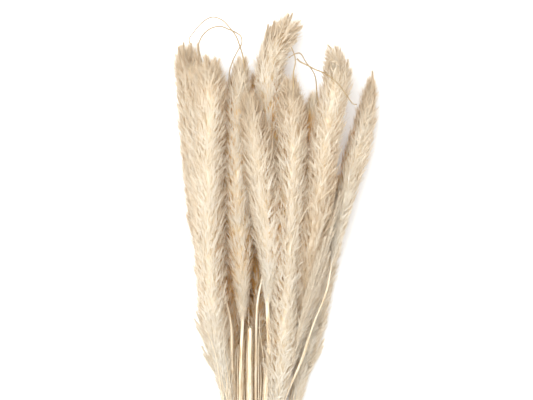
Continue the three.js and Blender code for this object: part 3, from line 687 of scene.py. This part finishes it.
def tufts_of_hair(stalk, random):
    """Feathery tufts, whose hairs get shorter towards the tip of their spine."""
    spines = tuft_spines(stalk, random)
    of = np.repeat(np.arange(len(spines.root_y)), HAIRS_IN_TUFT)
    share = random.uniform(HAIR_FROM, 1, len(of)) ** HAIR_CROWDING

    def on_spine(t):
        y = spines.root_y[of] + spines.length[of] * t
        radius = mix(spines.root_r[of], spines.tip_r[of], t ** spines.bend[of])
        return round_line(stalk, y, radius, spines.angle[of] + spines.swing[of] * t)

    roots, outward = on_spine(share)
    along = unit(on_spine(share + SPINE_STEP)[0] - roots)
    lengths = HAIR_LENGTH * mix(1, HAIR_AT_TIP, share) * random.uniform(*HAIR_UNEVEN, len(of))
    tones = spines.tone[of] + random.normal(0, HAIR_TONE_VARY, len(of))
    ways = splayed(along, random)
    return straight_hairs(stalk, roots, ways, lengths, outward, tones, HAIR_WIDTH, random)


def spikes_of_hair(stalk, random):
    """Short spikes all over the plume. The hairs of each run together at its tip."""
    count = round((stalk.tip_y - stalk.base_y) * SPIKES_PER_MM * stalk.fullness)
    root_y = random.uniform(stalk.base_y, stalk.tip_y - OUTLINE_BEFORE_TIP, count)
    angle = random.uniform(0, 2 * math.pi, count)
    full = stalk.hair_outline(root_y) * (1 + stalk.lobes(root_y, angle))
    root_r = full * random.uniform(*SPIKE_ROOT, count)
    rise = random.uniform(*SPIKE_RISE, count)
    length = SPIKE_LENGTH * random.uniform(*SPIKE_UNEVEN, count)
    tip_r = np.minimum(root_r + length * np.sin(rise), full + random.uniform(*SPIKE_PAST, count))
    stem = np.maximum(root_r, SPIKE_STEM)
    turn = random.normal(0, SPIKE_TURN_VARY, count) / stem
    tips, _ = round_line(stalk, root_y + length * np.cos(rise), tip_r, angle + turn)

    of = np.repeat(np.arange(count), HAIRS_IN_SPIKE)
    along = random.normal(0, SPIKE_ROOT_VARY, len(of))
    beside = random.normal(0, SPIKE_ROOT_VARY, len(of)) / stem[of]
    roots, outward = round_line(stalk, root_y[of] + along, root_r[of], angle[of] + beside)
    ways = tips[of] + random.normal(0, SPIKE_TIP_VARY, roots.shape) - roots
    lengths = np.linalg.norm(ways, axis=1)
    tones = SPIKE_TONE + random.normal(0, HAIR_TONE_VARY, count)[of]
    return straight_hairs(stalk, roots, unit(ways), lengths, outward, tones, SPIKE_WIDTH, random)


def spray_of_hair(stalk, points, random):
    """A feathery spray, with hairs along a curve through points."""
    spine = smooth(points, SPRAY_STEPS)
    steps = np.diff(spine, axis=0)
    count = round(np.linalg.norm(steps, axis=1).sum() * HAIRS_PER_SPRAY_MM)
    share = random.uniform(0, 1, count) ** SPRAY_CROWDING
    index = np.minimum((share * len(steps)).astype(int), len(steps) - 1)
    part = (share * len(steps) - index)[:, None]
    roots = mix(spine[index], spine[index + 1], part) + random.normal(0, SPRAY_ROOT_VARY, (count, 3))
    lengths = SPRAY_HAIR * mix(1, SPRAY_HAIR_AT_TIP, share) * random.uniform(*SPRAY_UNEVEN, count)
    tones = SPRAY_TONE + random.normal(0, SPRAY_TONE_VARY, count)
    ways = splayed(unit(steps[index]), random)
    outward = np.broadcast_to(SPRAY_FACES, roots.shape)
    return straight_hairs(stalk, roots, ways, lengths, outward, tones, SPRAY_WIDTH, random)


def plume_hairs(stalk):
    random = np.random.default_rng(FIRST_SEED + stalk.number)
    sprays = [spray_of_hair(stalk, points, random) for points in SPRAYS.get(stalk.number, ())]
    return joined([tufts_of_hair(stalk, random), spikes_of_hair(stalk, random), *sprays])


def plume_core(stalk):
    """The uneven ground inside the hair, kept off the floor. Its darker colour is painted shade."""
    random = np.random.default_rng(FIRST_SEED - stalk.number)
    y = np.arange(stalk.base_y - CORE_BEFORE_BASE, stalk.tip_y - CORE_BEFORE_TIP, CORE_STEP)
    place, side, up = stalk.line.at(y)
    radii = np.maximum(stalk.fluff(y) * CORE_SHARE, CORE_LEAST)[:, None]
    radii = radii * random.uniform(*CORE_UNEVEN, (len(y), CORE_SIDES))
    room = np.maximum(place[:, 2:] - CORE_OVER_FLOOR, CORE_LEAST_ON_FLOOR)
    return tube(place, side, up, np.minimum(radii, room), CORE_SIDES)


def plume(stalk, hair, ground):
    name = f"plume_{stalk.number:02d}"
    add(f"{name}_hair", plume_hairs(stalk), hair, name)
    add(f"{name}_core", plume_core(stalk), ground, name)


def bare_culm(stalk, random):
    """The bare stalk, ribbed and swollen at its joints. Where it bears no plume its top is torn."""
    y = np.arange(stalk.foot_y, stalk.base_y + 1, CULM_STEP)
    place, side, up = stalk.line.at(y)
    radii = stalk.culm_radius(y)
    for joint in JOINT_Y:
        radii = radii + JOINT_SWELL * np.exp(-((y - joint) / JOINT_LENGTH) ** 2)
    ribs = 1 + RIB * np.where(np.arange(CULM_SIDES) % 2, 1, -1)
    form = tube(place, side, up, radii[:, None] * ribs, CULM_SIDES)
    if not stalk.radius:
        top = (len(y) - 1) * (CULM_SIDES + 1)
        form[0][top:top + CULM_SIDES, 1] += random.uniform(-TOP_JAG, 1, CULM_SIDES)
        form[0][-1, 1] -= TOP_JAG
    return form


def blade(stalk, random):
    """A dry leaf blade: a strip folded along its middle, which gets slimmer towards its tip."""
    if stalk.long_culm:
        start = random.uniform(BLADE_FROM_Y, stalk.base_y - BLADE_BELOW_PLUME)
        end = stalk.base_y
    else:
        start = stalk.base_y + random.uniform(*BLADE_ROUND_BASE)
        end = stalk.base_y + BLADE_UP_PLUME
    share = np.linspace(0, 1, BLADE_STEPS)
    y = np.minimum(start + random.uniform(*BLADE_LENGTH) * share, end)
    away = stalk.culm_radius(y) + random.uniform(*BLADE_OFF_CULM) * share ** 2
    if not stalk.long_culm:
        away = np.maximum(away, stalk.fluff(y) * random.uniform(*BLADE_ON_FLUFF))
    angle = random.uniform(*BLADE_ANGLE) * math.pi + random.normal(0, BLADE_TWIST_VARY) * share
    middle, out = round_line(stalk, y, away, angle)
    widest = BLADE_WIDTH / 2 * random.uniform(*BLADE_SLIM)
    half = widest * np.sin(mix(0.5, 1, share) * math.pi)[:, None] ** 0.5
    return folded_strip(middle, out, half, share)


def folded_strip(middle, out, half, share):
    """A strip along middle, with its fold outward. half is half its width at each share of its length."""
    across = np.cross(unit(np.gradient(middle, axis=0)), out)
    edges = [middle - across * half, middle + out * half * BLADE_FOLD, middle + across * half]
    vertices = np.stack(edges, 1).reshape(-1, 3)
    row = np.arange(len(middle) - 1)[:, None] * 3
    quads = np.concatenate([row + np.array(corners) for corners in ((0, 1, 4, 3), (1, 2, 5, 4))])
    uv = np.stack(np.broadcast_arrays(BLADE_U, share[:, None]), -1).reshape(-1, 2)
    return vertices, quads, NO_TRIANGLES, uv


def culm(stalk, material):
    random = np.random.default_rng(FIRST_SEED * 3 + stalk.number)
    stem = bare_culm(stalk, random)
    blades = BLADES_ON_CULM if stalk.long_culm else BLADES_ON_FOOT
    name = f"culm_{stalk.number:02d}"
    add(f"{name}_straw", joined([stem, *(blade(stalk, random) for _ in range(blades))]), material,
        name)


def strand(number, points, material):
    name = f"strand_{number}"
    form = thin_tube(points, STRAND_RADII, STRAND_SIDES, STRAND_STEPS)
    add(f"{name}_straw", form, material, name)


def leaf_threads(material):
    tubes = []
    for number, points in LEAVES:
        start, _, _ = BUNDLE[number - 1].line.at(LEAF_FROM_Y)
        tubes.append(thin_tube([start, *points], LEAF_RADII, LEAF_SIDES, LEAF_STEPS, taper=2))
    add("leaf_threads", joined(tubes), material)


def wisps(material):
    tubes = [thin_tube(points, WISP_RADII, WISP_SIDES, WISP_STEPS) for points in WISPS]
    add("wisps", joined(tubes), material)


def twine(path):
    """Plies twisted round a path, and kept above the floor."""
    side, up = frames(path)
    gaps = np.linalg.norm(np.diff(path, axis=0), axis=1)
    run = np.concatenate([[0], np.cumsum(gaps)])
    plies = []
    for ply in range(PLIES):
        turn = (run / TWIST_PITCH + ply / PLIES) * 2 * math.pi
        centres = path + PLY_OFFSET * (np.cos(turn)[:, None] * side + np.sin(turn)[:, None] * up)
        centres[:, 2] = np.maximum(centres[:, 2], PLY_RADIUS)
        plies.append(tube(centres, side, up, PLY_RADIUS, PLY_SIDES))
    return joined(plies)


def windings():
    """The path of the turns round the culms, which starts and ends beside the knot."""
    around = np.linspace(0, TIE_TURNS, TURN_STEPS * TIE_TURNS)
    angle = KNOT_ANGLE + around * 2 * math.pi
    radius = TIE_INNER_RADIUS + TWINE_DIAMETER / 2
    y = mix(-1, 1, around / TIE_TURNS) * (TIE_WIDTH - TWINE_DIAMETER) / 2
    z = np.maximum(TIE_HEIGHT + radius * np.sin(angle), TWINE_DIAMETER / 2)
    return np.stack([radius * np.cos(angle), y, z], -1)


def knot():
    """The path of a trefoil knot that lies on the turns."""
    t = np.linspace(0, 2 * math.pi, KNOT_STEPS)
    across, along, out = np.sin(t) + 2 * np.sin(2 * t), np.cos(t) - 2 * np.cos(2 * t), -np.sin(3 * t)
    tangent = np.array([-KNOT_OUT[2], 0, KNOT_OUT[0]])
    middle = KNOT_OUT * (TIE_OUTER_RADIUS + KNOT_PROUD) + (0, 0, TIE_HEIGHT)
    half_across, half_along, half_out = KNOT_HALF
    path = across[:, None] / 3 * half_across * tangent + out[:, None] * half_out * KNOT_OUT
    path[:, 1] += along / 3 * half_along
    return middle + path


def tail(way):
    """The path of a tail, which leaves the knot along Y, one way or the other."""
    x, _, z = KNOT_OUT * TIE_OUTER_RADIUS + (0, 0, TIE_HEIGHT)
    start_y, bend_y, end_y = TAIL_Y
    start = np.array([x, way * start_y, z])
    bend = np.array([x - TAIL_SPLAY * TAIL_BEND_SHARE, way * bend_y, z + TAIL_RISE])
    end = np.array([x - TAIL_SPLAY, way * end_y, z - TAIL_DROP])
    t = np.linspace(0, 1, TAIL_STEPS)[:, None]
    return (1 - t) ** 2 * start + 2 * t * (1 - t) * bend + t ** 2 * end


def tie(material):
    form = joined([twine(path) for path in (windings(), knot(), tail(1), tail(-1))])
    add("tie_twine", form, material, "tie")


def new_material(name, roughness):
    """A material, its nodes, its links and its shader."""
    material = bpy.data.materials.new(name)
    material.use_nodes = True
    tree = material.node_tree
    shader = tree.nodes["Principled BSDF"]
    shader.inputs["Roughness"].default_value = roughness
    return material, tree.nodes, tree.links, shader


def uv_places(nodes):
    node = nodes.new("ShaderNodeUVMap")
    node.uv_map = UV_NAME
    return node.outputs["UV"]


def scaled(nodes, links, places, scale):
    node = nodes.new("ShaderNodeMapping")
    node.inputs["Scale"].default_value = scale
    links.new(places, node.inputs[0])
    return node.outputs[0]


def ramp(nodes, links, value, stops):
    """The colour that a value picks from a ramp."""
    node = nodes.new("ShaderNodeValToRGB")
    elements = node.color_ramp.elements
    while len(elements) < len(stops):
        elements.new(0.5)
    for element, (place, colour) in zip(elements, stops):
        element.position = place
        element.color = (*colour, 1)
    links.new(value, node.inputs[0])
    return node.outputs[0]


def streaks(nodes, links, places, detail, stops, shader):
    """Colours the shader by a noise at places, and gives it the same noise in relief."""
    noise = nodes.new("ShaderNodeTexNoise")
    noise.inputs["Scale"].default_value = 1
    noise.inputs["Detail"].default_value = detail
    links.new(places, noise.inputs["Vector"])
    links.new(ramp(nodes, links, noise.outputs["Fac"], stops), shader.inputs["Base Color"])
    bump = nodes.new("ShaderNodeBump")
    bump.inputs["Strength"].default_value = BUMP_STRENGTH
    bump.inputs["Distance"].default_value = BUMP_DEPTH * MM
    links.new(noise.outputs["Fac"], bump.inputs["Height"])
    links.new(bump.outputs[0], shader.inputs["Normal"])


def hair_material():
    """Hair that lets light through. Its UV place gives its tone, as u, and the light and shade painted on
    it, as v.
    """
    material, nodes, links, shader = new_material("pampas_hair", HAIR_ROUGHNESS)
    shader.inputs["Specular IOR Level"].default_value = HAIR_GLOSS
    split = nodes.new("ShaderNodeSeparateXYZ")
    links.new(uv_places(nodes), split.inputs[0])
    colour = nodes.new("ShaderNodeMix")
    colour.data_type = "RGBA"
    colour.blend_type = "MULTIPLY"
    colour.inputs["Factor"].default_value = 1
    links.new(ramp(nodes, links, split.outputs[1], LIGHT_COLOURS), colour.inputs["A"])
    links.new(ramp(nodes, links, split.outputs[0], TONE_COLOURS), colour.inputs["B"])
    links.new(colour.outputs["Result"], shader.inputs["Base Color"])
    through = nodes.new("ShaderNodeBsdfTranslucent")
    links.new(colour.outputs["Result"], through.inputs["Color"])
    both = nodes.new("ShaderNodeMixShader")
    both.inputs[0].default_value = HAIR_TRANSLUCENT
    links.new(shader.outputs[0], both.inputs[1])
    links.new(through.outputs[0], both.inputs[2])
    links.new(both.outputs[0], nodes["Material Output"].inputs["Surface"])
    return material


def grained_material(name, dark, light, roughness, grain=LONG_GRAIN):
    """Dry plant matter, pale over a darker ground, with a grain by its place."""
    material, nodes, links, shader = new_material(name, roughness)
    places = scaled(nodes, links, nodes.new("ShaderNodeTexCoord").outputs["Object"], grain)
    stops = [(GRAIN_DARK_TO, dark), (GRAIN_LIGHT_FROM, light)]
    streaks(nodes, links, places, GRAIN_DETAIL, stops, shader)
    return material


def straw_material():
    """Straw whose streaks run round and along each piece by its UV map, shifted by its place."""
    material, nodes, links, shader = new_material("straw", STRAW_ROUGHNESS)
    by_uv = scaled(nodes, links, uv_places(nodes), STRAW_ROUND_AND_ALONG)
    by_place = scaled(nodes, links, nodes.new("ShaderNodeTexCoord").outputs["Object"], STRAW_BY_PLACE)
    both = nodes.new("ShaderNodeVectorMath")
    links.new(by_uv, both.inputs[0])
    links.new(by_place, both.inputs[1])
    streaks(nodes, links, both.outputs[0], STRAW_DETAIL, STRAW_COLOURS, shader)
    return material


def floor():
    material, _, _, shader = new_material("floor_paint", FLOOR_ROUGHNESS)
    shader.inputs["Base Color"].default_value = FLOOR_COLOUR
    signs = ((-1, -1), (1, -1), (1, 1), (-1, 1))
    corners = np.array([(x * FLOOR_HALF, y * FLOOR_HALF, -FLOOR_DROP) for x, y in signs])
    uv = [(0, 0), (1, 0), (1, 1), (0, 1)]
    new_piece("floor", (corners, [(0, 1, 2, 3)], NO_TRIANGLES, uv), material)


def sky():
    world = bpy.data.worlds.new("studio")
    world.use_nodes = True
    world.node_tree.nodes["Background"].inputs["Color"].default_value = WORLD_COLOUR
    world.node_tree.nodes["Background"].inputs["Strength"].default_value = WORLD_STRENGTH
    bpy.context.scene.world = world


def lamp():
    light = bpy.data.lights.new("key", "AREA")
    light.size, light.energy, light.color = LAMP_SIZE, LAMP_WATTS, LAMP_COLOUR
    piece = bpy.data.objects.new("key", light)
    piece.location = LAMP_PLACE
    x, y, z = np.array(LAMP_AIM) - np.array(LAMP_PLACE)
    piece.rotation_euler = (math.atan2(math.hypot(x, y), -z), 0, math.atan2(-x, y))
    bpy.context.scene.collection.objects.link(piece)


def camera():
    data = bpy.data.cameras.new("camera")
    data.lens, data.sensor_width = LENS, SENSOR
    view = bpy.data.objects.new("camera", data)
    height = MID_HEIGHT + PHOTO_WIDTH_PX * LENS / SENSOR
    view.location = (PHOTO_CENTRE[0] * MM, PHOTO_CENTRE[1] * MM, height * MM)
    bpy.context.scene.collection.objects.link(view)
    bpy.context.scene.camera = view
    bpy.context.scene.view_settings.view_transform = "Standard"


hair = hair_material()
# the plume core's darker colour is painted shade deep in the hair
ground = grained_material("plume_core_painted_shade", dark=(0.8, 0.69, 0.53), light=(0.88, 0.8, 0.68), roughness=0.8)
straw = straw_material()
filament = grained_material("filament", dark=(0.24, 0.15, 0.07), light=(0.42, 0.3, 0.16), roughness=0.5)
jute = grained_material("jute", dark=(0.42, 0.29, 0.15), light=(0.66, 0.5, 0.3), roughness=0.85,
                        grain=EVEN_GRAIN)
for stalk in BUNDLE:
    culm(stalk, straw)
    if stalk.radius:
        plume(stalk, hair, ground)
for number, points in enumerate(STRANDS, 1):
    strand(number, points, filament)
tie(jute)
leaf_threads(straw)
wisps(straw)
floor()
sky()
lamp()
camera()
